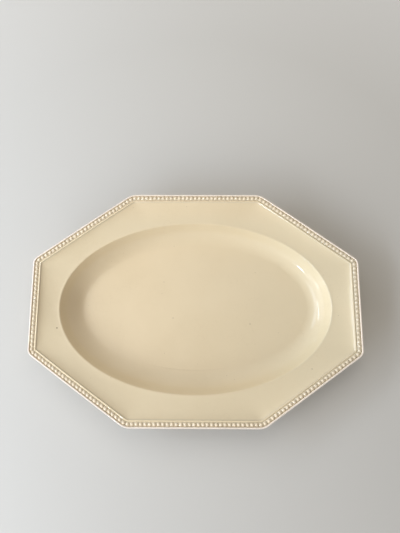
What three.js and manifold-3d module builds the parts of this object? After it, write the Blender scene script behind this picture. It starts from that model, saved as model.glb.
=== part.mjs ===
// An octagonal serving dish in cream-glazed earthenware, with an oval well and a beaded border.
// Millimetres, +Z up. The origin is the middle of the plane that the foot ring stands on.
import * as THREE from "three";
import { mergeVertices } from "three/addons/utils/BufferGeometryUtils.js";
import Module from "manifold-3d";

const wasm = await Module();
wasm.setup();

// Outline of the rim: a long octagon with rounded corners
const LENGTH = 350; // between the two short sides
const WIDTH = 247; // between the two long sides
const LONG_SIDE = 142; // front and back, corner to corner
const SHORT_SIDE = 100; // left and right, corner to corner
const LONG_CORNER_RADIUS = 18; // at the ends of the long sides
const SHORT_CORNER_RADIUS = 9; // at the ends of the short sides
const INNER_CORNER_RADIUS = 1.5; // least radius of the lines of the border

// Oval well
const END_RIM_WIDTH = 28; // from the well to a short side
const SIDE_RIM_WIDTH = 31; // from the well to a long side
const WELL_DEPTH = 17;
const WALL_SLOPE = THREE.MathUtils.degToRad(60); // where it is steepest, under the rim
const FLOOR_RADIUS = 22; // hollow curve between wall and floor
const ARRIS_RADIUS = 2; // rounded edge between wall and rim
const BODY_THICKNESS = 5; // of the floor and the wall

// Rim, which rises in a shallow hollow from the well and then in a steeper cove against the border
const HOLLOW_RISE = 4.5;
const HOLLOW_SWEEP = 1.4; // power of the hollow's curve, where 1 would be a straight slope
const COVE_RISE = 1.1;
const COVE_SWEEP = 8; // power of the cove's curve: the higher, the closer it keeps to the border
const RIM_CORNER_RADIUS = 60; // of the lines beside the well, which sharpen towards the border
const RIM_THICKNESS = 3.5; // under the border
const EDGE_RADIUS = 1.5; // lower corner of the outer edge

// Beads, and the strip that each row of them is moulded on
const BEAD_DIAMETER = 3.8;
const BEAD_HEIGHT = 1.3;
const BEAD_PITCH = 4.5;
const BEAD_MARGIN = 0.05; // bare strip on each side of a bead
const STRIP_THICKNESS = 0.5;
const STRIP_CLEARANCE = 0.15; // beside a strip, and between two strips at a corner

// Border moulding: a rolled lip, the channel for the bead strips and a thin fillet
const LIP_WIDTH = 2;
const LIP_HEIGHT = 1.8; // above the channel
const LIP_FULLNESS = 3.2; // power of its round, where 2 would be half an ellipse
const CHANNEL_DEPTH = 0.7; // below the rim
const FILLET_WIDTH = 2.1;
const FILLET_HEIGHT = 0.6;

// Foot ring
const FOOT_HEIGHT = 3.5;
const FOOT_WIDTH = 6;
const FOOT_INSET = 4; // from the edge of the flat base
const FOOT_CHAMFER = 1.2;

// Fineness of the facets
const ARC_STEPS = 4; // round each corner, an even number because strips meet at its middle
const SIDE_STEPS = 5;
const CURVE_STEPS = 4;
const RIM_STEPS = 6;
const ROLL_STEPS = 4;
const BEAD_SIDES = 8;
const BEAD_RINGS = 2;

// Places that follow from the sizes above
const STRIP_WIDTH = BEAD_DIAMETER + 2 * BEAD_MARGIN;
const CHANNEL_WIDTH = STRIP_WIDTH + 2 * STRIP_CLEARANCE;
const CHANNEL_INSET = LIP_WIDTH + CHANNEL_WIDTH; // inner side of the channel
const BORDER_WIDTH = CHANNEL_INSET + FILLET_WIDTH;
const BEAD_INSET = LIP_WIDTH + CHANNEL_WIDTH / 2;
const FLOOR_Z = FOOT_HEIGHT + BODY_THICKNESS;
const ARRIS_Z = FLOOR_Z + WELL_DEPTH;
const RIM_Z = ARRIS_Z + HOLLOW_RISE + COVE_RISE;
const CHANNEL_Z = RIM_Z - CHANNEL_DEPTH;
const RIM_UNDERSIDE_Z = RIM_Z - RIM_THICKNESS;
const WELL_HALF_LENGTH = LENGTH / 2 - END_RIM_WIDTH;
const WELL_HALF_WIDTH = WIDTH / 2 - SIDE_RIM_WIDTH;
const STRAIGHT_WALL_HEIGHT = WELL_DEPTH - (FLOOR_RADIUS + ARRIS_RADIUS) * (1 - Math.cos(WALL_SLOPE));
const WALL_RUN =
  (FLOOR_RADIUS + ARRIS_RADIUS) * Math.sin(WALL_SLOPE) + STRAIGHT_WALL_HEIGHT / Math.tan(WALL_SLOPE);

// Corners of the octagon, anticlockwise, and the name of the side that starts at each
const CORNERS = [
  { x: LENGTH / 2, y: -SHORT_SIDE / 2, radius: SHORT_CORNER_RADIUS, side: "right" },
  { x: LENGTH / 2, y: SHORT_SIDE / 2, radius: SHORT_CORNER_RADIUS, side: "back_right" },
  { x: LONG_SIDE / 2, y: WIDTH / 2, radius: LONG_CORNER_RADIUS, side: "back" },
  { x: -LONG_SIDE / 2, y: WIDTH / 2, radius: LONG_CORNER_RADIUS, side: "back_left" },
  { x: -LENGTH / 2, y: SHORT_SIDE / 2, radius: SHORT_CORNER_RADIUS, side: "left" },
  { x: -LENGTH / 2, y: -SHORT_SIDE / 2, radius: SHORT_CORNER_RADIUS, side: "front_left" },
  { x: -LONG_SIDE / 2, y: -WIDTH / 2, radius: LONG_CORNER_RADIUS, side: "front" },
  { x: LONG_SIDE / 2, y: -WIDTH / 2, radius: LONG_CORNER_RADIUS, side: "front_right" },
];

// Finishes
const CREAM_GLAZE = { color: 0xe2cfaf, roughness: 0.18, metalness: 0 };
const BARE_CLAY = { color: 0xd9c8a6, roughness: 0.75, metalness: 0 };

// Even steps from 0 to 1
function shares(count) {
  return Array.from({ length: count + 1 }, (_, i) => i / count);
}

// Angle of the outward normal of the side that starts at a corner
function sideAngle(index) {
  const start = CORNERS[index % CORNERS.length];
  const end = CORNERS[(index + 1) % CORNERS.length];
  return Math.atan2(start.x - end.x, end.y - start.y);
}

// The rounded corner at an index, on the line that lies inset from the outline
function cornerArc(index, inset, leastRadius = INNER_CORNER_RADIUS) {
  const corner = CORNERS[index % CORNERS.length];
  const before = sideAngle(index + CORNERS.length - 1);
  const turn = THREE.MathUtils.euclideanModulo(sideAngle(index) - before, 2 * Math.PI);
  const radius = Math.max(corner.radius - inset, leastRadius);
  const middle = before + turn / 2;
  const back = (inset + radius) / Math.cos(turn / 2);
  const centre = new THREE.Vector2(corner.x - back * Math.cos(middle), corner.y - back * Math.sin(middle));
  return shares(ARC_STEPS).map((share) => {
    const angle = before + turn * share;
    return new THREE.Vector2(radius * Math.cos(angle), radius * Math.sin(angle)).add(centre);
  });
}

// The whole outline, or a line inset from it, as one ring of points
function outline(inset, leastRadius) {
  return CORNERS.flatMap((_, index) => {
    const arc = cornerArc(index, inset, leastRadius);
    const end = cornerArc(index + 1, inset, leastRadius)[0];
    const alongSide = shares(SIDE_STEPS).slice(1, -1);
    return [...arc, ...alongSide.map((share) => arc[ARC_STEPS].clone().lerp(end, share))];
  });
}

// An ellipse with one point on each ray from the middle to the outline
function oval(halfLength, halfWidth) {
  return outline(0).map((p) => p.clone().divideScalar(Math.hypot(p.x / halfLength, p.y / halfWidth)));
}

// The well's oval, drawn in by an inset
function wellOval(inset) {
  return oval(WELL_HALF_LENGTH - inset, WELL_HALF_WIDTH - inset);
}

// A ring of points at one height
function raise(ring, z) {
  return ring.map((p) => new THREE.Vector3(p.x, p.y, z));
}

// The line part of the way across the rim, from the well's oval to the border
function rimLine(share) {
  const border = outline(BORDER_WIDTH, THREE.MathUtils.lerp(RIM_CORNER_RADIUS, INNER_CORNER_RADIUS, share));
  return wellOval(0).map((p, i) => p.clone().lerp(border[i], share));
}

// A closed skin over a list of rings with equal counts. The first ring runs anticlockwise, seen from outside,
// and both end rings are filled in, unless the last ring joins the first.
function loft(rings, joined = false) {
  const count = rings[0].length;
  const points = rings.flat();
  const triangles = [];
  const spans = joined ? rings.length : rings.length - 1;
  for (let i = 0; i < spans; i++) {
    const near = i * count;
    const far = ((i + 1) % rings.length) * count;
    for (let k = 0; k < count; k++) {
      const next = (k + 1) % count;
      triangles.push(near + k, far + k, far + next, near + k, far + next, near + next);
    }
  }
  if (!joined) {
    const last = (rings.length - 1) * count;
    const firstMiddle = points.push(middleOf(rings[0])) - 1;
    const lastMiddle = points.push(middleOf(rings.at(-1))) - 1;
    for (let k = 0; k < count; k++) {
      const next = (k + 1) % count;
      triangles.push(firstMiddle, k, next, lastMiddle, last + next, last + k);
    }
  }
  return new THREE.BufferGeometry().setFromPoints(points).setIndex(triangles);
}

function middleOf(ring) {
  return ring.reduce((sum, p) => sum.add(p), new THREE.Vector3()).divideScalar(ring.length);
}

// Pressed body: floor, wall, rim, border moulding and the underside that follows them
function dishBody() {
  const rimRise = (share) => HOLLOW_RISE * share ** HOLLOW_SWEEP + COVE_RISE * share ** COVE_SWEEP;
  const acrossRim = shares(RIM_STEPS).slice(1, -1);
  const upFloorCurve = shares(CURVE_STEPS);

  // Hollow curve between floor and wall, for the upper or the lower face
  const floorCurve = (radius, bottomZ) =>
    upFloorCurve.map((share) => {
      const slope = WALL_SLOPE * share;
      return raise(wellOval(WALL_RUN - radius * Math.sin(slope)), bottomZ + radius * (1 - Math.cos(slope)));
    });
  const arris = shares(CURVE_STEPS).map((share) => {
    const slope = WALL_SLOPE * (1 - share);
    return raise(wellOval(ARRIS_RADIUS * Math.sin(slope)), ARRIS_Z - ARRIS_RADIUS * (1 - Math.cos(slope)));
  });
  const rim = acrossRim.map((share) => raise(rimLine(share), ARRIS_Z + rimRise(share)));

  // Each roll is half a superellipse, from its inner foot to its outer foot: half an ellipse at a fullness
  // of 2, with a flatter top above that
  const roll = (inset, width, height, innerZ, outerZ, fullness = 2) =>
    shares(ROLL_STEPS).map((share) => {
      const angle = Math.PI * share;
      const turn = Math.cos(angle);
      const across = (1 - Math.sign(turn) * Math.abs(turn) ** (2 / fullness)) / 2;
      const rise = height * Math.sin(angle) ** (2 / fullness);
      const baseZ = THREE.MathUtils.lerp(innerZ, outerZ, across);
      return raise(outline(inset + width * (1 - across)), baseZ + rise);
    });
  const fillet = roll(CHANNEL_INSET, FILLET_WIDTH, FILLET_HEIGHT, RIM_Z, CHANNEL_Z);
  const lip = roll(0, LIP_WIDTH, LIP_HEIGHT, CHANNEL_Z, CHANNEL_Z, LIP_FULLNESS);

  const edge = shares(CURVE_STEPS).map((share) => {
    const angle = (Math.PI / 2) * share;
    const inset = EDGE_RADIUS * (1 - Math.cos(angle));
    return raise(outline(inset), RIM_UNDERSIDE_Z + EDGE_RADIUS * (1 - Math.sin(angle)));
  });
  const underBorder = raise(outline(BORDER_WIDTH), RIM_UNDERSIDE_Z);
  const underRim = acrossRim.toReversed().map((share) => {
    const thickness = THREE.MathUtils.lerp(BODY_THICKNESS, RIM_THICKNESS, share);
    return raise(rimLine(share), ARRIS_Z + rimRise(share) - thickness);
  });
  const underArrisInset = (ARRIS_RADIUS - BODY_THICKNESS) * Math.tan(WALL_SLOPE / 2);
  const underArris = raise(wellOval(underArrisInset), ARRIS_Z - BODY_THICKNESS);
  const underFloor = floorCurve(FLOOR_RADIUS + BODY_THICKNESS, FOOT_HEIGHT).toReversed();

  return loft([
    ...floorCurve(FLOOR_RADIUS, FLOOR_Z),
    ...arris,
    ...rim,
    ...fillet,
    ...lip,
    ...edge,
    underBorder,
    ...underRim,
    underArris,
    ...underFloor,
  ]);
}

// Foot ring: an oval ring under the flat base, narrowed towards the table
function footRing() {
  const outer = WALL_RUN + FOOT_INSET;
  const inner = outer + FOOT_WIDTH;
  return loft(
    [
      raise(wellOval(inner), FOOT_HEIGHT),
      raise(wellOval(outer), FOOT_HEIGHT),
      raise(wellOval(outer), FOOT_CHAMFER),
      raise(wellOval(outer + FOOT_CHAMFER), 0),
      raise(wellOval(inner - FOOT_CHAMFER), 0),
      raise(wellOval(inner), FOOT_CHAMFER),
    ],
    true,
  );
}

// The stretch of an inset line that belongs to one side, from the middle of one corner to that of the next
function stripLine(index, inset) {
  const half = ARC_STEPS / 2;
  const line = [...cornerArc(index, inset).slice(half), ...cornerArc(index + 1, inset).slice(0, half + 1)];
  const shorten = (end, towards) => end.add(towards.clone().sub(end).setLength(STRIP_CLEARANCE / 2));
  shorten(line[0], line[1]);
  shorten(line.at(-1), line.at(-2));
  return line;
}

// A closed geometry as a solid that can be joined to others
function solidOf(geometry) {
  const bare = geometry.clone();
  bare.deleteAttribute("normal");
  bare.deleteAttribute("uv");
  const merged = mergeVertices(bare);
  return new wasm.Manifold(
    new wasm.Mesh({
      numProp: 3,
      vertProperties: merged.attributes.position.array,
      triVerts: new Uint32Array(merged.index.array),
    }),
  );
}

function geometryOf(solid) {
  const mesh = solid.getMesh();
  return new THREE.BufferGeometry()
    .setAttribute("position", new THREE.BufferAttribute(mesh.vertProperties, mesh.numProp))
    .setIndex(new THREE.BufferAttribute(mesh.triVerts, 1));
}

// One bead: half an ellipsoid on a short root that sinks into the strip
function bead() {
  const radius = BEAD_DIAMETER / 2;
  const root = -STRIP_THICKNESS / 2;
  const dome = shares(BEAD_RINGS).map((share) => {
    const angle = (Math.PI / 2) * share;
    return new THREE.Vector2(share < 1 ? radius * Math.cos(angle) : 0, BEAD_HEIGHT * Math.sin(angle));
  });
  const profile = [new THREE.Vector2(0, root), new THREE.Vector2(radius, root), ...dome];
  return new THREE.LatheGeometry(profile, BEAD_SIDES).rotateX(Math.PI / 2);
}

// Bead strip of one side: a flat strip that lies in the channel, with a row of beads along its middle
function beadStrip(index) {
  const outerLine = stripLine(index, LIP_WIDTH + STRIP_CLEARANCE);
  const innerLine = stripLine(index, CHANNEL_INSET - STRIP_CLEARANCE);
  const topZ = CHANNEL_Z + STRIP_THICKNESS;
  const sections = outerLine.map((outer, i) => {
    const inner = innerLine[i];
    return [
      new THREE.Vector3(outer.x, outer.y, CHANNEL_Z),
      new THREE.Vector3(outer.x, outer.y, topZ),
      new THREE.Vector3(inner.x, inner.y, topZ),
      new THREE.Vector3(inner.x, inner.y, CHANNEL_Z),
    ];
  });
  const beadLine = new THREE.Path(stripLine(index, BEAD_INSET));
  const count = Math.max(1, Math.round(beadLine.getLength() / BEAD_PITCH));
  let strip = solidOf(loft(sections));
  for (let i = 0; i < count; i++) {
    const place = beadLine.getPoint((i + 0.5) / count);
    strip = strip.add(solidOf(bead().translate(place.x, place.y, topZ)));
  }
  return geometryOf(strip);
}

function piece(name, geometry, finish) {
  geometry.computeVertexNormals();
  const mesh = new THREE.Mesh(geometry, new THREE.MeshStandardMaterial(finish));
  mesh.name = name;
  return mesh;
}

const dish = new THREE.Group();
dish.add(piece("dish_body", dishBody(), CREAM_GLAZE));
dish.add(piece("foot_ring", footRing(), BARE_CLAY));
CORNERS.forEach((corner, index) => {
  dish.add(piece(`bead_strip_${corner.side}`, beadStrip(index), CREAM_GLAZE));
});

export default dish;
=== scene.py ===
import math

import bpy
import numpy as np
from mathutils import Matrix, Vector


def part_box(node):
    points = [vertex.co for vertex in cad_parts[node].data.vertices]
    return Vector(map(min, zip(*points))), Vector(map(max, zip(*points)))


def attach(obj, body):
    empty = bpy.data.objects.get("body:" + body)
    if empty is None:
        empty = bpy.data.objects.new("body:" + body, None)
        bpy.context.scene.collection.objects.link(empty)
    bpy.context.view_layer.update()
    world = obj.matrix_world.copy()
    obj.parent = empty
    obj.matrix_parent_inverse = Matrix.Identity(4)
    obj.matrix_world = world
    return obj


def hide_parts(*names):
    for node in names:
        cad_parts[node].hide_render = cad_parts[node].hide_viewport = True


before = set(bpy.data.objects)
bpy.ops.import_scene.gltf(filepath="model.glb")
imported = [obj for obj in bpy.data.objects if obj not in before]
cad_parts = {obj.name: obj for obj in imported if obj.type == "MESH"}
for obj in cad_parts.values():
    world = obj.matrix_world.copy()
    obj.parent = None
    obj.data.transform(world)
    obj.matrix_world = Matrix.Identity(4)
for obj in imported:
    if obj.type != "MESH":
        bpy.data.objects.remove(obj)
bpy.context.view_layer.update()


# Dish body
# One sheet of pale clay, pressed over a mould, so that floor, wall, rim and border are a single sweep.
# It is dipped whole in a cream lead glaze, which thins over the edges and pools in the hollows.

MM = 0.001
body_low, body_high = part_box("dish_body")
HALF_LENGTH = body_high.x
HALF_WIDTH = body_high.y
LIP_TOP = body_high.z
BASE_Z = body_low.z

LONG_SIDE = 142 * MM
SHORT_SIDE = 100 * MM
LONG_CORNER_RADIUS = 18 * MM
SHORT_CORNER_RADIUS = 9 * MM
INNER_CORNER_RADIUS = 1.5 * MM
RIM_CORNER_RADIUS = 60 * MM

END_RIM_WIDTH = 28 * MM
SIDE_RIM_WIDTH = 31 * MM
WELL_DEPTH = 17 * MM
WALL_SLOPE = math.radians(60)
FLOOR_RADIUS = 22 * MM
ARRIS_RADIUS = 2 * MM
BODY_THICKNESS = 5 * MM
HOLLOW_RISE = 4.5 * MM
HOLLOW_SWEEP = 1.4
COVE_RISE = 1.1 * MM
COVE_SWEEP = 8
RIM_THICKNESS = 3.5 * MM
EDGE_RADIUS = 1.5 * MM

LIP_WIDTH = 2 * MM
LIP_HEIGHT = 1.8 * MM
LIP_FULLNESS = 3.2
CHANNEL_WIDTH = 4.2 * MM
FILLET_WIDTH = 2.1 * MM
FILLET_HEIGHT = 0.6 * MM

CHANNEL_INSET = LIP_WIDTH + CHANNEL_WIDTH
BORDER_WIDTH = CHANNEL_INSET + FILLET_WIDTH
FLOOR_Z = BASE_Z + BODY_THICKNESS
ARRIS_Z = FLOOR_Z + WELL_DEPTH
RIM_Z = ARRIS_Z + HOLLOW_RISE + COVE_RISE
CHANNEL_Z = LIP_TOP - LIP_HEIGHT
RIM_UNDERSIDE_Z = RIM_Z - RIM_THICKNESS
CURVED_DEPTH = (FLOOR_RADIUS + ARRIS_RADIUS) * (1 - math.cos(WALL_SLOPE))
WALL_RUN = (FLOOR_RADIUS + ARRIS_RADIUS) * math.sin(WALL_SLOPE)
WALL_RUN += (WELL_DEPTH - CURVED_DEPTH) / math.tan(WALL_SLOPE)

ARC_STEPS = 12
SIDE_STEPS = 56

# Corners of the octagon, anticlockwise from the near end of the right side
corner_x = np.array([HALF_LENGTH, HALF_LENGTH, LONG_SIDE / 2, -LONG_SIDE / 2])
corner_y = np.array([-SHORT_SIDE / 2, SHORT_SIDE / 2, HALF_WIDTH, HALF_WIDTH])
corners = np.stack([np.append(corner_x, -corner_x), np.append(corner_y, -corner_y)], axis=1)
corner_radius = np.tile([SHORT_CORNER_RADIUS] * 2 + [LONG_CORNER_RADIUS] * 2, 2)
side_vector = np.roll(corners, -1, axis=0) - corners
side_angle = np.arctan2(-side_vector[:, 0], side_vector[:, 1])
corner_turn = (side_angle - np.roll(side_angle, 1)) % (2 * math.pi)


def unit(angle):
    """Unit vectors in the plane at these angles."""
    return np.stack([np.cos(angle), np.sin(angle)], axis=-1)


def corner_arcs(inset, steps, least_radius=INNER_CORNER_RADIUS):
    """The eight rounded corners of the line at an inset: arcs about centres on the corners' bisectors."""
    radius = np.maximum(corner_radius - inset, least_radius)
    reach = (inset + radius) / np.cos(corner_turn / 2)
    centre = corners - reach[:, None] * unit(side_angle - corner_turn / 2)
    share = np.linspace(0, 1, steps + 1)
    angle = (side_angle - corner_turn)[:, None] + corner_turn[:, None] * share
    return centre[:, None] + radius[:, None, None] * unit(angle), angle


def outline(inset, least_radius=INNER_CORNER_RADIUS):
    """The octagon's line at an inset, as one ring: its corner arcs, joined by straight sides."""
    arc = corner_arcs(inset, ARC_STEPS, least_radius)[0]
    share = np.linspace(0, 1, SIDE_STEPS + 1)[1:-1, None]
    side = arc[:, -1:] * (1 - share) + np.roll(arc[:, :1], -1, axis=0) * share
    return np.concatenate([arc, side], axis=1).reshape(-1, 2)


def well_oval(inset):
    """The well's ellipse drawn in by an inset, with one point on each ray from the middle to the outline."""
    half_axes = np.array([HALF_LENGTH - END_RIM_WIDTH - inset, HALF_WIDTH - SIDE_RIM_WIDTH - inset])
    ray = outline(0)
    return ray / np.linalg.norm(ray / half_axes, axis=1, keepdims=True)


def rim_line(share):
    """The line part of the way across the rim: a blend of the well's oval with the border's octagon, whose
    corners are wide beside the well and sharpen towards the border."""
    corner = RIM_CORNER_RADIUS * (1 - share) + INNER_CORNER_RADIUS * share
    return well_oval(0) * (1 - share) + outline(BORDER_WIDTH, corner) * share


def rim_rise(share):
    """Height of the rim over the well's edge: a shallow hollow that grows as a low power of the way across,
    and a cove that grows as a high power of it and so keeps close to the border."""
    return HOLLOW_RISE * share**HOLLOW_SWEEP + COVE_RISE * share**COVE_SWEEP


def level(ring, z):
    """A flat ring at one height."""
    return np.column_stack([ring, np.full(len(ring), z)])


def floor_curve(radius, bottom_z, steps):
    """The hollow curve from the floor up to the wall: circle arcs of one radius, tangent to the floor."""
    slopes = WALL_SLOPE * np.linspace(0, 1, steps + 1)
    return [
        level(well_oval(WALL_RUN - radius * math.sin(s)), bottom_z + radius * (1 - math.cos(s)))
        for s in slopes
    ]


def roll(inset, width, height, inner_z, outer_z, steps, fullness=2):
    """A rounded ridge along the border, from its inner foot to its outer foot: half a superellipse, which is
    half an ellipse at a fullness of two and has a flatter top above that."""
    angles = np.linspace(0, math.pi, steps + 1)
    across = (1 - np.sign(np.cos(angles)) * abs(np.cos(angles)) ** (2 / fullness)) / 2
    rise = abs(np.sin(angles)) ** (2 / fullness)
    z = inner_z + (outer_z - inner_z) * across + height * rise
    return [level(outline(inset + width * (1 - a)), h) for a, h in zip(across, z)]


def skin(name, grid, marks, joined=False):
    """A closed mesh over a grid of rings. Rings close on themselves, and the end rings are filled by fans
    to their middles, unless the last ring joins the first. Marks are per-point values kept as attributes."""
    rings, around = grid.shape[:2]
    index = np.arange(rings * around).reshape(rings, around)
    far = np.roll(index, -1, axis=0) if joined else index[1:]
    near = index if joined else index[:-1]
    quads = np.stack([near, far, np.roll(far, -1, axis=1), np.roll(near, -1, axis=1)], axis=-1)
    faces = quads.reshape(-1, 4).tolist()
    points = grid.reshape(-1, 3)
    values = {mark: value.reshape(-1) for mark, value in marks.items()}
    if not joined:
        first, last = len(points), len(points) + 1
        points = np.vstack([points, grid[0].mean(axis=0), grid[-1].mean(axis=0)])
        top, bottom = index[0], index[-1]
        faces += np.stack([np.full(around, first), top, np.roll(top, -1)], axis=1).tolist()
        faces += np.stack([np.full(around, last), np.roll(bottom, -1), bottom], axis=1).tolist()
        values = {m: np.append(v, [marks[m][0].mean(), marks[m][-1].mean()]) for m, v in values.items()}
    mesh = bpy.data.meshes.new(name)
    mesh.from_pydata(points.tolist(), [], faces)
    mesh.polygons.foreach_set("use_smooth", np.ones(len(faces), dtype=bool))
    for mark, value in values.items():
        mesh.attributes.new(mark, "FLOAT", "POINT").data.foreach_set("value", value.astype(np.float32))
    mesh.update()
    piece = bpy.data.objects.new(name, mesh)
    bpy.context.scene.collection.objects.link(piece)
    return piece


PRESS_WIDTH = 1.6 * MM
PRESS_DEPTH = 0.08 * MM
PRESS_X = -11 * MM
PRESS_LENGTH = 110 * MM

FLOOR_STEPS = 14
CURVE_STEPS = 16
WALL_STEPS = 4
ARRIS_STEPS = 8
RIM_STEPS = 18
ROLL_STEPS = 12
EDGE_STEPS = 6
UNDER_STEPS = 10

floor_edge = well_oval(WALL_RUN)
floor_rings = [level(floor_edge * s, FLOOR_Z) for s in np.linspace(0, 1, FLOOR_STEPS + 1)[1:-1]]
floor_rings += [level(well_oval(WALL_RUN + PRESS_WIDTH * s), FLOOR_Z) for s in (1, 0.5)]
curve_rings = floor_curve(FLOOR_RADIUS, FLOOR_Z, CURVE_STEPS)
arris_rings = [
    level(well_oval(ARRIS_RADIUS * math.sin(s)), ARRIS_Z - ARRIS_RADIUS * (1 - math.cos(s)))
    for s in WALL_SLOPE * np.linspace(1, 0, ARRIS_STEPS + 1)
]
wall_shares = np.linspace(0, 1, WALL_STEPS + 1)[1:-1]
wall_rings = [curve_rings[-1] * (1 - s) + arris_rings[0] * s for s in wall_shares]
rim_shares = np.linspace(0, 1, RIM_STEPS + 1)[1:-1]
rim_rings = [level(rim_line(s), ARRIS_Z + rim_rise(s)) for s in rim_shares]
fillet_rings = roll(CHANNEL_INSET, FILLET_WIDTH, FILLET_HEIGHT, RIM_Z, CHANNEL_Z, ROLL_STEPS)
lip_rings = roll(0, LIP_WIDTH, LIP_HEIGHT, CHANNEL_Z, CHANNEL_Z, ROLL_STEPS, LIP_FULLNESS)
edge_rings = [
    level(outline(EDGE_RADIUS * (1 - math.cos(t))), RIM_UNDERSIDE_Z + EDGE_RADIUS * (1 - math.sin(t)))
    for t in np.linspace(0, math.pi / 2, EDGE_STEPS + 1)
]
under_border_rings = [level(outline(s * BORDER_WIDTH), RIM_UNDERSIDE_Z) for s in (0.5, 1)]
under_rim_rings = [
    level(rim_line(s), ARRIS_Z + rim_rise(s) - BODY_THICKNESS * (1 - s) - RIM_THICKNESS * s)
    for s in np.linspace(1, 0, UNDER_STEPS + 1)[1:-1]
]
under_arris_inset = (ARRIS_RADIUS - BODY_THICKNESS) * math.tan(WALL_SLOPE / 2)
under_arris_rings = [level(well_oval(under_arris_inset), ARRIS_Z - BODY_THICKNESS)]
under_curve_rings = floor_curve(FLOOR_RADIUS + BODY_THICKNESS, BASE_Z, UNDER_STEPS)[::-1]
base_rings = [level(floor_edge * s, BASE_Z) for s in np.linspace(1, 0, UNDER_STEPS + 1)[1:-1]]

bands = {
    "floor": floor_rings, "curve": curve_rings, "wall": wall_rings, "arris": arris_rings, "rim": rim_rings,
    "fillet": fillet_rings, "lip": lip_rings, "edge": edge_rings, "under_border": under_border_rings,
    "under_rim": under_rim_rings, "under_arris": under_arris_rings, "under_curve": under_curve_rings,
    "base": base_rings,
}
body_grid = np.array([ring for band in bands.values() for ring in band])
band_start = np.cumsum([0] + [len(band) for band in bands.values()])
rows = {name: slice(start, start + len(bands[name])) for name, start in zip(bands, band_start)}

WALL_LEMON = 0.6
FILLET_CREST = 0.15
POOL_REACH = 0.4


def ramp(value, start, end):
    """Nothing up to the start, one from the end on, and straight between them."""
    return np.clip((value - start) / (end - start), 0, 1)


# Where the glaze lies thin, pools or takes a tint, as one value for each ring
ridge = np.sin(np.linspace(0, math.pi, ROLL_STEPS + 1))
ring_crest = np.zeros(len(body_grid))
ring_crest[rows["fillet"]] = FILLET_CREST * ridge**2
ring_crest[rows["lip"]] = ridge
ring_pool = np.zeros(len(body_grid))
ring_pool[rows["fillet"]] = 1 - ramp(ridge, 0, POOL_REACH)
ring_pool[rows["lip"]] = 1 - ramp(ridge, 0, POOL_REACH)
ring_wall = np.zeros(len(body_grid))
ring_wall[rows["curve"]] = np.linspace(0, 1, len(curve_rings))
ring_wall[rows["wall"]] = 1
ring_wall[rows["arris"]] = 1
ring_lemon = WALL_LEMON * ring_wall
ring_lemon[rows["rim"]] = 1
ring_lemon[rows["fillet"]] = 1

CHIP_X = -14.9 * MM
CHIP_LENGTH = 7 * MM
CHIP_DEPTH = 0.7 * MM
WORN_Y = -36 * MM
WORN_LENGTH = 16 * MM
WORN_DEPTH = 0.35 * MM
WORN_BARE = 0.8


def bitten(along, middle, length, other):
    """How deep a chip, a worn place or a press line is along its way: one in its middle, and falling to
    nothing at its ends as the square of one minus the square of the way, where the other coordinate is
    positive."""
    way = np.clip(abs(along - middle) / (length / 2), 0, 1)
    return (1 - way**2) ** 2 * (other > 0)


press_row = rows["floor"].stop - 1
press_line = body_grid[press_row]
press_mark = bitten(press_line[:, 0], PRESS_X, PRESS_LENGTH, -press_line[:, 1])
press_line[:, 2] -= PRESS_DEPTH * press_mark
body_press = np.zeros(body_grid.shape[:2])
body_press[press_row] = press_mark

lip_points = body_grid[rows["lip"]]
back_chip = bitten(lip_points[..., 0], CHIP_X, CHIP_LENGTH, lip_points[..., 1])
left_wear = bitten(lip_points[..., 1], WORN_Y, WORN_LENGTH, -lip_points[..., 0] - HALF_LENGTH / 2)
lip_points[..., 2] -= ridge[:, None] * (CHIP_DEPTH * back_chip + WORN_DEPTH * left_wear)
body_bare = np.zeros(body_grid.shape[:2])
body_bare[rows["lip"]] = ridge[:, None] * (back_chip + WORN_BARE * left_wear)

WELL_SHIFT = 0.4 * MM
SHIFT_REACH = 0.3
BACK_DRAW = 0.6 * MM
BACK_START = 0.8
END_SKEW = 0.9 * MM
END_START = 0.75
RIM_DIP = 0.35 * MM
DIP_START = 0.6
DIP_END = 1.1
DIP_TURN = 0.9


def settled(points):
    """The small faults of a hand-pressed dish that dried and was fired: the well's wall sits a little near of
    the middle, the back edge and the near corner of the left end are drawn in, and the rim dips twice round
    its edge as a cosine. Each fades out over a share of the dish's half sizes."""
    x, y, z = points[..., 0], points[..., 1], points[..., 2]
    well_radius = np.hypot(x / (HALF_LENGTH - END_RIM_WIDTH), y / (HALF_WIDTH - SIDE_RIM_WIDTH))
    shift = WELL_SHIFT * np.clip(1 - ((well_radius - 1) / SHIFT_REACH) ** 2, 0, 1) ** 2
    out = ramp(np.hypot(x / HALF_LENGTH, y / HALF_WIDTH), DIP_START, DIP_END)
    left = ramp(-x / HALF_LENGTH, END_START, 1)
    near = ramp(-y / SHORT_SIDE, -0.5, 0.5)
    back = ramp(y / HALF_WIDTH, BACK_START, 1)
    dip = RIM_DIP * out**2 * (1 - np.cos(2 * np.arctan2(y, x) - DIP_TURN)) / 2
    return np.stack([x + END_SKEW * left * near, y - shift * (1 - out) - BACK_DRAW * back, z - dip], axis=-1)


columns = np.ones(body_grid.shape[1])
body_marks = {
    "crest": np.outer(ring_crest, columns), "pool": np.outer(ring_pool, columns),
    "lemon": np.outer(ring_lemon, columns), "wall": np.outer(ring_wall, columns),
    "bare": body_bare, "press": body_press,
}
dish_body = skin("dish_body_glazed", settled(body_grid), body_marks)


def node(tree, kind, inputs, **options):
    """Adds a shader node, sets its options, and fills its inputs with values or with links."""
    made = tree.nodes.new(kind)
    for option, value in options.items():
        setattr(made, option, value)
    for name, value in inputs.items():
        if isinstance(value, bpy.types.NodeSocket):
            tree.links.new(value, made.inputs[name])
        else:
            made.inputs[name].default_value = value
    return made


def tinted(tree, colour, over, factor):
    """One colour laid over another by a factor."""
    mix = node(tree, "ShaderNodeMix", {0: factor, 6: colour, 7: over}, data_type="RGBA")
    return mix.outputs[2]


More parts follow.
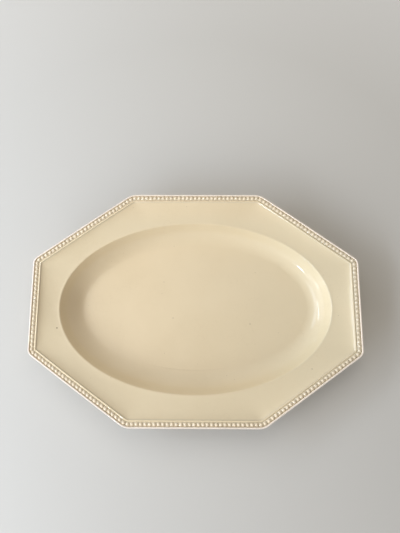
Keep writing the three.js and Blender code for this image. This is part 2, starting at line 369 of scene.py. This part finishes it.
def spread(tree, value, low, high, to_low=0.0, to_high=1.0):
    """A value's range stretched to another range, and held at its ends."""
    inputs = {"Value": value, "From Min": low, "From Max": high, "To Min": to_low, "To Max": to_high}
    return node(tree, "ShaderNodeMapRange", inputs).outputs["Result"]


def noise(tree, place, scale, detail=3.0, roughness=0.5):
    """Cloudy noise at a place, with about this many lumps to the metre."""
    inputs = {"Vector": place, "Scale": scale, "Detail": detail, "Roughness": roughness}
    return node(tree, "ShaderNodeTexNoise", inputs).outputs["Fac"]


def times(tree, value, other):
    """The product of two values."""
    return node(tree, "ShaderNodeMath", {0: value, 1: other}, operation="MULTIPLY").outputs["Value"]


def mark(tree, name):
    """One of the marks that the mesh carries at its points."""
    return node(tree, "ShaderNodeAttribute", {}, attribute_name=name).outputs["Fac"]


# Tints of the glaze, two of them painted light: a painted falloff shade and a painted sheen. A range is where
# a tint starts and where it is full, and a tint is its share there.
CREAM = (0.763, 0.626, 0.427, 1)
CREAM_DEEP = (0.721, 0.586, 0.390, 1)
# Painted shade: a darker, cooler cream laid towards the right end, standing in for the light falling off away
# from the window.
CREAM_FALLOFF_SHADE = (0.658, 0.565, 0.398, 1)
# Painted sheen: a whitish cream on the right wall that stands in for the window's reflection there.
CREAM_PAINTED_SHEEN = (0.674, 0.607, 0.446, 1)
CREAM_LEMON = (0.70, 0.612, 0.43, 1)
CREAM_PALE = (0.86, 0.77, 0.70, 1)
POOLED_OLIVE = (0.56, 0.52, 0.445, 1)
CLOUD_SCALE = 11
CLOUD_RANGE = (0.38, 0.66)
# Where the painted falloff shade lies: it grows along the dish towards the right end and weakens towards the
# long sides.
FALLOFF_SHADE_ALONG = (-60 * MM, 130 * MM)
FALLOFF_SHADE_ASIDE = (50 * MM, 110 * MM)
FALLOFF_SHADE_TINT = (0.85, 0.2)
# Where the painted sheen lies along the right wall, and its share there.
PAINTED_SHEEN_ALONG = (60 * MM, 120 * MM)
PAINTED_SHEEN_TINT = 0.5
LEMON_FAR = (90 * MM, 105 * MM)
LEMON_TINT = (0.4, 0.1)
MOTTLE_SCALE = 60
MOTTLE_RANGE = (0.45, 0.8)
MOTTLE_TINT = 0.2
CREST_RANGE = (0.15, 0.9)
CREST_TINT = 0.9
POOL_TINT = 0.35


def cream_tints(tree, place, mottle):
    """Clouds of deeper cream; painted shade towards the right end, a darker and cooler cream where the light
    falls off away from the window; a painted whitish sheen on the right wall, where the window reflects; and
    lemon on wall and rim, though less far back. Over that the glaze is mottled, pale where it thins on crests
    and olive where it pools."""
    across = node(tree, "ShaderNodeSeparateXYZ", {"Vector": place}).outputs
    aside = node(tree, "ShaderNodeMath", {0: across["Y"]}, operation="ABSOLUTE").outputs["Value"]
    cloud = spread(tree, noise(tree, place, CLOUD_SCALE, detail=4, roughness=0.55), *CLOUD_RANGE)
    # Painted shade: darker and cooler towards the right end, where the light falls off.
    falloff_shade = times(tree, spread(tree, across["X"], *FALLOFF_SHADE_ALONG), spread(tree, aside, *FALLOFF_SHADE_ASIDE, *FALLOFF_SHADE_TINT))
    # Painted reflection: a whitish sheen on the right wall, where the window reflects.
    painted_sheen = times(tree, mark(tree, "wall"), spread(tree, across["X"], *PAINTED_SHEEN_ALONG, 0, PAINTED_SHEEN_TINT))
    lemon = times(tree, mark(tree, "lemon"), spread(tree, across["Y"], *LEMON_FAR, *LEMON_TINT))
    colour = tinted(tree, CREAM, CREAM_DEEP, cloud)
    colour = tinted(tree, colour, CREAM_FALLOFF_SHADE, falloff_shade)
    colour = tinted(tree, colour, CREAM_PAINTED_SHEEN, painted_sheen)
    colour = tinted(tree, colour, CREAM_LEMON, lemon)
    colour = tinted(tree, colour, CREAM_DEEP, spread(tree, mottle, *MOTTLE_RANGE, 0, MOTTLE_TINT))
    colour = tinted(tree, colour, CREAM_PALE, spread(tree, mark(tree, "crest"), *CREST_RANGE, 0, CREST_TINT))
    return tinted(tree, colour, POOLED_OLIVE, spread(tree, mark(tree, "pool"), 0, 1, 0, POOL_TINT))


# Brown stain in the glaze's cracks. The same colour also serves as the painted shade along the press line.
CRAZE_STAIN_AND_PRESS_SHADE = (0.50, 0.38, 0.23, 1)
CRAZE_SCALE = 130
CRAZE_STRAY = 9 * MM
CRAZE_WIDTH = 0.018
CRAZE_TINT = 0.16
CRAZE_PATCH_SCALE = 24
CRAZE_PATCH_RANGE = (0.5, 0.62)
# Share of painted shade laid along the shallow press line, where the near wall meets the floor.
PRESS_SHADE_TINT = 0.22


def craze_net(tree, place):
    """Fine cracks in the glaze: the edges between Voronoi cells, shaken out of line by noise, in patches."""
    shaken = node(tree, "ShaderNodeTexNoise", {"Vector": place, "Scale": CRAZE_SCALE, "Detail": 3.0})
    inputs = {0: shaken.outputs["Color"], "Scale": CRAZE_STRAY}
    stray = node(tree, "ShaderNodeVectorMath", inputs, operation="SCALE").outputs["Vector"]
    strayed = node(tree, "ShaderNodeVectorMath", {0: place, 1: stray}, operation="ADD").outputs["Vector"]
    inputs = {"Vector": strayed, "Scale": CRAZE_SCALE}
    crack = node(tree, "ShaderNodeTexVoronoi", inputs, feature="DISTANCE_TO_EDGE").outputs["Distance"]
    patches = spread(tree, noise(tree, place, CRAZE_PATCH_SCALE, detail=2), *CRAZE_PATCH_RANGE)
    return times(tree, spread(tree, crack, 0, CRAZE_WIDTH, CRAZE_TINT, 0), patches)


SPECK_BROWN = (0.20, 0.12, 0.06, 1)
SPECK_CORE = 0.4
GRIT_SCALE = 85
GRIT_RANGE = (0.015, 0.04)
GRIT_TINT = 0.5

# Place along and across, radius and strength of each larger speck
KILN_SPECKS = [
    (-146.8 * MM, -23.6 * MM, 1.0 * MM, 0.9), (-24.9 * MM, -11.9 * MM, 1.1 * MM, 0.25),
    (60.3 * MM, -18.1 * MM, 1.2 * MM, 0.3), (-35.7 * MM, 28.3 * MM, 1.0 * MM, 0.2),
    (121.8 * MM, -64.6 * MM, 1.1 * MM, 0.3),
]


def specked(tree, colour, place):
    """Brown grit in the middles of Voronoi cells, and round specks from the kiln, each full in its core and
    nothing past its radius."""
    grit = node(tree, "ShaderNodeTexVoronoi", {"Vector": place, "Scale": GRIT_SCALE}).outputs["Distance"]
    colour = tinted(tree, colour, SPECK_BROWN, spread(tree, grit, *GRIT_RANGE, GRIT_TINT, 0))
    flat = node(tree, "ShaderNodeVectorMath", {0: place, 1: (1, 1, 0)}, operation="MULTIPLY")
    for x, y, radius, strength in KILN_SPECKS:
        inputs = {0: flat.outputs["Vector"], 1: (x, y, 0)}
        away = node(tree, "ShaderNodeVectorMath", inputs, operation="DISTANCE").outputs["Value"]
        spot = spread(tree, away, radius * SPECK_CORE, radius, 1, 0)
        colour = tinted(tree, colour, SPECK_BROWN, times(tree, spot, strength))
    return colour


BISCUIT = (0.90, 0.82, 0.70, 1)
BISCUIT_ROUGHNESS = 0.75
GRAIN_SCALE = 420
GRAIN_RANGE = (0.3, 0.5)
GRAIN_STRENGTH = (0.4, 1.4)
BARE_RANGE = (0.25, 0.4)


def laid_bare(tree, place):
    """Where chips and wear lay the clay bare, with edges made ragged by grainy noise."""
    grain = spread(tree, noise(tree, place, GRAIN_SCALE), *GRAIN_RANGE, *GRAIN_STRENGTH)
    return spread(tree, times(tree, mark(tree, "bare"), grain), *BARE_RANGE)


GLOSS_RANGE = (0.35, 0.65)
GLOSS_ROUGHNESS = (0.36, 0.42)
SCRATCH_TURN = (0, 0, 0.6)
SCRATCH_STRETCH = (12, 700, 1)
SCRATCH_RANGE = (0.66, 0.72)
SCRATCH_ROUGHNESS = 0.03
COAT_WEIGHT = 0.8
COAT_ROUGHNESS = 0.06
COAT_IOR = 1.6
BASE_SPECULAR = 0.25
RIPPLE_SCALE = 70
RIPPLE_STRENGTH = 0.35
RIPPLE_DEPTH = 0.6 * MM


def gloss(tree, shader, place, mottle, bare):
    """A dull base gloss, mottled and finely scratched, under a smooth glassy coat that ripples a little and
    is missing where the clay is bare."""
    inputs = {"Vector": place, "Rotation": SCRATCH_TURN, "Scale": SCRATCH_STRETCH}
    stretched = node(tree, "ShaderNodeMapping", inputs).outputs["Vector"]
    scratch = spread(tree, noise(tree, stretched, 1, detail=2), *SCRATCH_RANGE, 0, SCRATCH_ROUGHNESS)
    dull = spread(tree, mottle, *GLOSS_RANGE, *GLOSS_ROUGHNESS)
    dull = node(tree, "ShaderNodeMath", {0: dull, 1: scratch}, operation="ADD").outputs["Value"]
    rough = node(tree, "ShaderNodeMix", {0: bare, 2: dull, 3: BISCUIT_ROUGHNESS}).outputs[0]
    tree.links.new(rough, shader.inputs["Roughness"])
    tree.links.new(spread(tree, bare, 0, 1, COAT_WEIGHT, 0), shader.inputs["Coat Weight"])
    shader.inputs["Coat Roughness"].default_value = COAT_ROUGHNESS
    shader.inputs["Coat IOR"].default_value = COAT_IOR
    shader.inputs["Specular IOR Level"].default_value = BASE_SPECULAR
    ripple = noise(tree, place, RIPPLE_SCALE, detail=2)
    inputs = {"Height": ripple, "Strength": RIPPLE_STRENGTH, "Distance": RIPPLE_DEPTH}
    rippled = node(tree, "ShaderNodeBump", inputs).outputs["Normal"]
    tree.links.new(rippled, shader.inputs["Normal"])
    tree.links.new(rippled, shader.inputs["Coat Normal"])


def cream_glaze():
    """Cream glaze: its tints, then crazing, painted shade along the press line at the near wall's foot,
    specks, bare biscuit and gloss.
    """
    material = bpy.data.materials.new("cream_glaze")
    material.use_nodes = True
    tree = material.node_tree
    shader = tree.nodes["Principled BSDF"]
    place = node(tree, "ShaderNodeTexCoord", {}).outputs["Object"]
    mottle = noise(tree, place, MOTTLE_SCALE, detail=2)
    bare = laid_bare(tree, place)
    colour = cream_tints(tree, place, mottle)
    colour = tinted(tree, colour, CRAZE_STAIN_AND_PRESS_SHADE, craze_net(tree, place))
    # Painted shade: a darker line along the press line at the foot of the near wall.
    colour = tinted(tree, colour, CRAZE_STAIN_AND_PRESS_SHADE, times(tree, mark(tree, "press"), PRESS_SHADE_TINT))
    colour = specked(tree, colour, place)
    colour = tinted(tree, colour, BISCUIT, bare)
    tree.links.new(colour, shader.inputs["Base Color"])
    gloss(tree, shader, place, mottle, bare)
    return material


glaze = cream_glaze()
dish_body.data.materials.append(glaze)
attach(dish_body, "root")
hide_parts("dish_body")


# Bead strips
# Eight lengths of moulded clay beading, one on each side, laid in the channel of the border with slip.
# The glaze runs over them, so beads stand pale and the hollows between them fill with thicker glaze.

SIDE_NAMES = ["right", "back_right", "back", "back_left", "left", "front_left", "front", "front_right"]
BEAD_DIAMETER = 3.8 * MM
BEAD_HEIGHT = 1.3 * MM
BEAD_PITCH = 4.5 * MM
STRIP_THICKNESS = 0.5 * MM
STRIP_SINK = 0.15 * MM
BEAD_INSET = LIP_WIDTH + CHANNEL_WIDTH / 2
BEAD_STEPS = 8
BEAD_SHARE = 0.75
GLAZE_FILL = 0.2
LINE_STEPS = 24
BEAD_CREST = 0.45
BEAD_POOL_REACH = 0.625


def strip_line(side):
    """The middle line of one strip, from the middle of one corner to the middle of the next: its points,
    the angle of its outward normal and the distance along it."""
    arc, angle = corner_arcs(BEAD_INSET, LINE_STEPS)
    half = LINE_STEPS // 2
    after = (side + 1) % len(SIDE_NAMES)
    points = np.vstack([arc[side][half:], arc[after][:half + 1]])
    normal = np.unwrap(np.append(angle[side][half:], angle[after][:half + 1]))
    steps = np.linalg.norm(np.diff(points, axis=0), axis=1)
    return points, normal, np.append(0, np.cumsum(steps))


def bead_strip(side):
    """Rings across one strip. Each bead's square of the grid is pulled round: inside, a square turned into
    a disc that carries a dome, half an ellipsoid; outside it, the ground between the beads. Thick glaze fills
    the hollows along the middle line: height is the root of the squares of dome and fill, scaled to one at
    the top."""
    points, normal, along = strip_line(side)
    count = round(along[-1] / BEAD_PITCH)
    pitch = along[-1] / count
    column = np.arange(count * BEAD_STEPS + 1)
    cell = np.minimum(column // BEAD_STEPS, count - 1)
    a = (column - cell * BEAD_STEPS) * 2 / BEAD_STEPS - 1
    b = np.linspace(-1, 1, BEAD_STEPS + 1)
    a, b = np.meshgrid(a, b, indexing="ij")
    on_bead = np.maximum(abs(a), abs(b)) <= BEAD_SHARE
    p, q = a / BEAD_SHARE, b / BEAD_SHARE
    disc = np.stack([p * np.sqrt(np.clip(1 - q * q / 2, 0, 1)), q * np.sqrt(np.clip(1 - p * p / 2, 0, 1))])
    dome = np.sqrt(np.clip(1 - (disc**2).sum(axis=0), 0, 1)) * on_bead
    half_width = CHANNEL_WIDTH / 2 + STRIP_SINK
    ahead = np.where(on_bead, disc[0] * BEAD_DIAMETER / 2, a * pitch / 2)
    across = np.where(on_bead, disc[1] * BEAD_DIAMETER / 2, b * half_width)
    fill = GLAZE_FILL * (1 - b * b)
    height = CHANNEL_Z + STRIP_THICKNESS + BEAD_HEIGHT * np.sqrt((dome**2 + fill**2) / (1 + fill**2))
    distance = (cell[:, None] + 0.5) * pitch + ahead
    underside = np.full((len(column), 1), CHANNEL_Z - STRIP_SINK)
    distance = np.hstack([distance[:, :1], distance, distance[:, -1:]])
    across = np.hstack([across[:, :1], across, across[:, -1:]])
    height = np.hstack([underside, height, underside])
    outward = np.interp(distance, along, normal)
    middle = np.stack([np.interp(distance, along, line) for line in points.T], axis=-1)
    ring = middle - across[..., None] * unit(outward)
    crest = np.pad(dome, ((0, 0), (1, 1)))
    return np.concatenate([ring, height[..., None]], axis=-1), crest


for side, side_name in enumerate(SIDE_NAMES):
    strip_grid, strip_crest = bead_strip(side)
    strip_marks = {"crest": BEAD_CREST * strip_crest, "pool": 1 - ramp(strip_crest, 0, BEAD_POOL_REACH)}
    strip = skin(f"bead_strip_{side_name}_glazed", settled(strip_grid), strip_marks)
    strip.data.materials.append(glaze)
    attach(strip, "root")
    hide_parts(f"bead_strip_{side_name}")


# Foot ring
# An oval ring of clay, stuck under the floor with slip. Its resting face is wiped clean of glaze before
# firing, so that the plate doesn't stick to the kiln shelf, and shows the bare, matt clay.

foot_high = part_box("foot_ring")[1]
FOOT_WIDTH = 6 * MM
FOOT_ROUND = 1.2 * MM
FOOT_SINK = 0.2 * MM
FOOT_STEPS = 6


def foot_ring_grid():
    """A narrow band carried round the ellipse: straight sides that round over to the flat resting face."""
    outer = HALF_LENGTH - END_RIM_WIDTH - foot_high.x
    inner = outer + FOOT_WIDTH
    turn = np.linspace(0, math.pi / 2, FOOT_STEPS + 1)
    drop = FOOT_ROUND * (1 - np.sin(turn))
    into = FOOT_ROUND * (1 - np.cos(turn))
    top = foot_high.z + FOOT_SINK
    inset = np.concatenate([[inner, outer], outer + into, (inner - into)[::-1]])
    z = np.concatenate([[top, top], drop, drop[::-1]])
    return np.array([level(well_oval(i), h) for i, h in zip(inset, z)]), z


foot_grid, foot_z = foot_ring_grid()
foot_marks = {"land": np.outer(np.clip(1 - foot_z / FOOT_ROUND, 0, 1), np.ones(foot_grid.shape[1]))}
foot_ring = skin("foot_ring_wiped", foot_grid, foot_marks, joined=True)

BARE_CLAY = (0.68, 0.57, 0.40, 1)
FOOT_ROUGHNESS = (0.2, 0.8)


def wiped_foot():
    """Thin glaze on the sides of the foot, bare clay on its resting face."""
    material = bpy.data.materials.new("wiped_foot")
    material.use_nodes = True
    tree = material.node_tree
    shader = tree.nodes["Principled BSDF"]
    land = mark(tree, "land")
    tree.links.new(tinted(tree, CREAM_DEEP, BARE_CLAY, land), shader.inputs["Base Color"])
    tree.links.new(spread(tree, land, 0, 1, *FOOT_ROUGHNESS), shader.inputs["Roughness"])
    return material


foot_ring.data.materials.append(wiped_foot())
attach(foot_ring, "root")
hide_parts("foot_ring")


# Floor and surroundings
# A plain pale table under an even pale sky. Away from the plate the table fades into the backdrop,
# as a studio sweep does, so that no edge or horizon shows.

FLOOR_HALF = 20.0
FLOOR_DROP = 0.1 * MM
FLOOR_COLOUR = (0.58, 0.57, 0.555, 1)
FLOOR_ROUGHNESS = 0.7
FADE_START = 0.34
FADE_END = 0.85
SKY_COLOUR = (1.08, 1.0, 0.90, 1)
SKY_STRENGTH = 0.28
BACKDROP_COLOUR = (0.80, 0.785, 0.76, 1)

floor_mesh = bpy.data.meshes.new("floor")
floor_x = FLOOR_HALF * np.array([-1, 1, 1, -1])
floor_corners = np.column_stack([floor_x, np.roll(floor_x, 1), np.full(4, -FLOOR_DROP)])
floor_mesh.from_pydata(floor_corners.tolist(), [], [(0, 1, 2, 3)])
floor = bpy.data.objects.new("floor", floor_mesh)
bpy.context.scene.collection.objects.link(floor)


def seen_rays(tree):
    """One for the rays that show a surface to the eye, straight, in a gloss or through glass, and zero for
    the rest."""
    rays = node(tree, "ShaderNodeLightPath", {}).outputs
    inputs = {0: rays["Is Camera Ray"], 1: rays["Is Glossy Ray"]}
    direct = node(tree, "ShaderNodeMath", inputs, operation="ADD").outputs["Value"]
    inputs = {0: direct, 1: rays["Is Transmission Ray"]}
    return node(tree, "ShaderNodeMath", inputs, operation="ADD", use_clamp=True).outputs["Value"]


def pale_floor():
    """Matt pale paint that gives way to the backdrop's own glow, by the distance from the plate."""
    material = bpy.data.materials.new("pale_floor")
    material.use_nodes = True
    tree = material.node_tree
    paint = tree.nodes["Principled BSDF"]
    paint.inputs["Base Color"].default_value = FLOOR_COLOUR
    paint.inputs["Roughness"].default_value = FLOOR_ROUGHNESS
    place = node(tree, "ShaderNodeTexCoord", {}).outputs["Object"]
    away = node(tree, "ShaderNodeVectorMath", {0: place}, operation="LENGTH").outputs["Value"]
    fade = times(tree, spread(tree, away, FADE_START, FADE_END), seen_rays(tree))
    glow = node(tree, "ShaderNodeEmission", {"Color": BACKDROP_COLOUR, "Strength": 1.0})
    inputs = {0: fade, 1: paint.outputs["BSDF"], 2: glow.outputs["Emission"]}
    mixed = node(tree, "ShaderNodeMixShader", inputs)
    tree.links.new(mixed.outputs["Shader"], tree.nodes["Material Output"].inputs["Surface"])
    return material


floor_mesh.materials.append(pale_floor())

world = bpy.data.worlds.new("sky")
world.use_nodes = True
bpy.context.scene.world = world
sky_tree = world.node_tree
sky = sky_tree.nodes["Background"]
sky.inputs["Color"].default_value = SKY_COLOUR
sky.inputs["Strength"].default_value = SKY_STRENGTH
backdrop = node(sky_tree, "ShaderNodeBackground", {"Color": BACKDROP_COLOUR, "Strength": 1.0})
sky_inputs = {0: seen_rays(sky_tree), 1: sky.outputs["Background"], 2: backdrop.outputs["Background"]}
surroundings = node(sky_tree, "ShaderNodeMixShader", sky_inputs)
sky_tree.links.new(surroundings.outputs["Shader"], sky_tree.nodes["World Output"].inputs["Surface"])


# Lights
# Five soft fills show in no reflection: two long ones on the left, as a window would stand, a low one nearer
# the front, and warm ones in front and overhead. A dim window lights the plate and shows in its gloss too.
# Three slim leaning strips and a high panel show in the gloss alone, as bright streaks on the wall.

WINDOW_COLOUR = (0.90, 1.0, 1.13)
DAY_COLOUR = (0.935, 1.0, 1.055)
PANEL_COLOUR = (0.82, 1.0, 1.25)
WARM_COLOUR = (1.1, 1.0, 0.8)


def softbox(name, azimuth, elevation, distance, tall, wide, power, colour=WINDOW_COLOUR, lean=0):
    """A rectangle of light that faces the middle of the plate from a direction and leans over sideways, all
    given in degrees."""
    lamp = bpy.data.lights.new(name, "AREA")
    lamp.shape = "RECTANGLE"
    lamp.size = tall
    lamp.size_y = wide
    lamp.energy = power
    lamp.color = colour
    turn, tilt = math.radians(azimuth), math.radians(90 - elevation)
    faced = Matrix.Rotation(turn, 4, "Z") @ Matrix.Rotation(tilt, 4, "Y")
    box = bpy.data.objects.new(name, lamp)
    box.matrix_world = faced @ Matrix.Rotation(math.radians(lean), 4, "Z")
    box.location = faced.col[2].xyz * distance
    bpy.context.scene.collection.objects.link(box)
    return box


fills = [
    softbox("left_fill", 150, 33.5, distance=1.1, tall=0.18, wide=1.3, power=4.0, colour=DAY_COLOUR),
    softbox("near_left_fill", 196, 32.5, distance=1.1, tall=0.18, wide=1.3, power=5.25),
    softbox("low_fill", 222, 20, distance=1.2, tall=0.4, wide=1.6, power=7.4, colour=DAY_COLOUR),
    softbox("front_fill", 255, 22, distance=1.2, tall=0.6, wide=1.0, power=2.2, colour=WARM_COLOUR),
    softbox("back_fill", 82, 60, distance=0.8, tall=0.5, wide=0.5, power=1.15, colour=WARM_COLOUR),
]
for fill in fills:
    fill.visible_glossy = False

softbox("window", 190, 25, distance=1.3, tall=0.8, wide=1.6, power=3.4)

streaks = [
    softbox("back_left_strip", 170, 44, distance=1.1, tall=0.12, wide=0.48, power=1.25, lean=28),
    softbox("left_strip", 209, 11.5, distance=1.1, tall=0.12, wide=0.22, power=0.35, lean=46),
    softbox("front_left_strip", 232.5, 28.5, distance=1.1, tall=0.17, wide=0.12, power=1.15, lean=27),
    softbox("high_panel", 178, 60, distance=1.15, tall=0.32, wide=0.9, power=1.9),
]
for streak in streaks:
    streak.data.color = PANEL_COLOUR
    streak.visible_diffuse = False


# Camera
# Held over the near side of the plate and tipped a little, at the distance of an arm.

VIEW_ELEVATION = math.radians(80.34)
VIEW_YAW = math.radians(2.01)
VIEW_ROLL = math.radians(-1.78)
VIEW_DISTANCE = 430.8 * MM
VIEW_AIM = np.array([4.9 * MM, 42.4 * MM, CHANNEL_Z])
FOCAL_PIXELS = 400
FRAME_PIXELS = 533
SENSOR_WIDTH = 36
NEAR_CLIP = 0.01
FAR_CLIP = 20

camera_data = bpy.data.cameras.new("camera")
camera_data.sensor_width = SENSOR_WIDTH
camera_data.lens = SENSOR_WIDTH * FOCAL_PIXELS / FRAME_PIXELS
camera_data.clip_start = NEAR_CLIP
camera_data.clip_end = FAR_CLIP
back = np.append(
    unit(np.array(VIEW_YAW - math.pi / 2)) * math.cos(VIEW_ELEVATION), math.sin(VIEW_ELEVATION)
)
right = np.append(unit(np.array(VIEW_YAW)), 0)
up = np.cross(back, right)
camera_x = right * math.cos(VIEW_ROLL) + up * math.sin(VIEW_ROLL)
camera_y = up * math.cos(VIEW_ROLL) - right * math.sin(VIEW_ROLL)
camera = bpy.data.objects.new("camera", camera_data)
placed = np.eye(4)
placed[:3, :3] = np.column_stack([camera_x, camera_y, back])
placed[:3, 3] = VIEW_AIM + back * VIEW_DISTANCE
camera.matrix_world = Matrix(placed.tolist())
bpy.context.scene.collection.objects.link(camera)
bpy.context.scene.camera = camera

bpy.context.scene.view_settings.view_transform = "Standard"
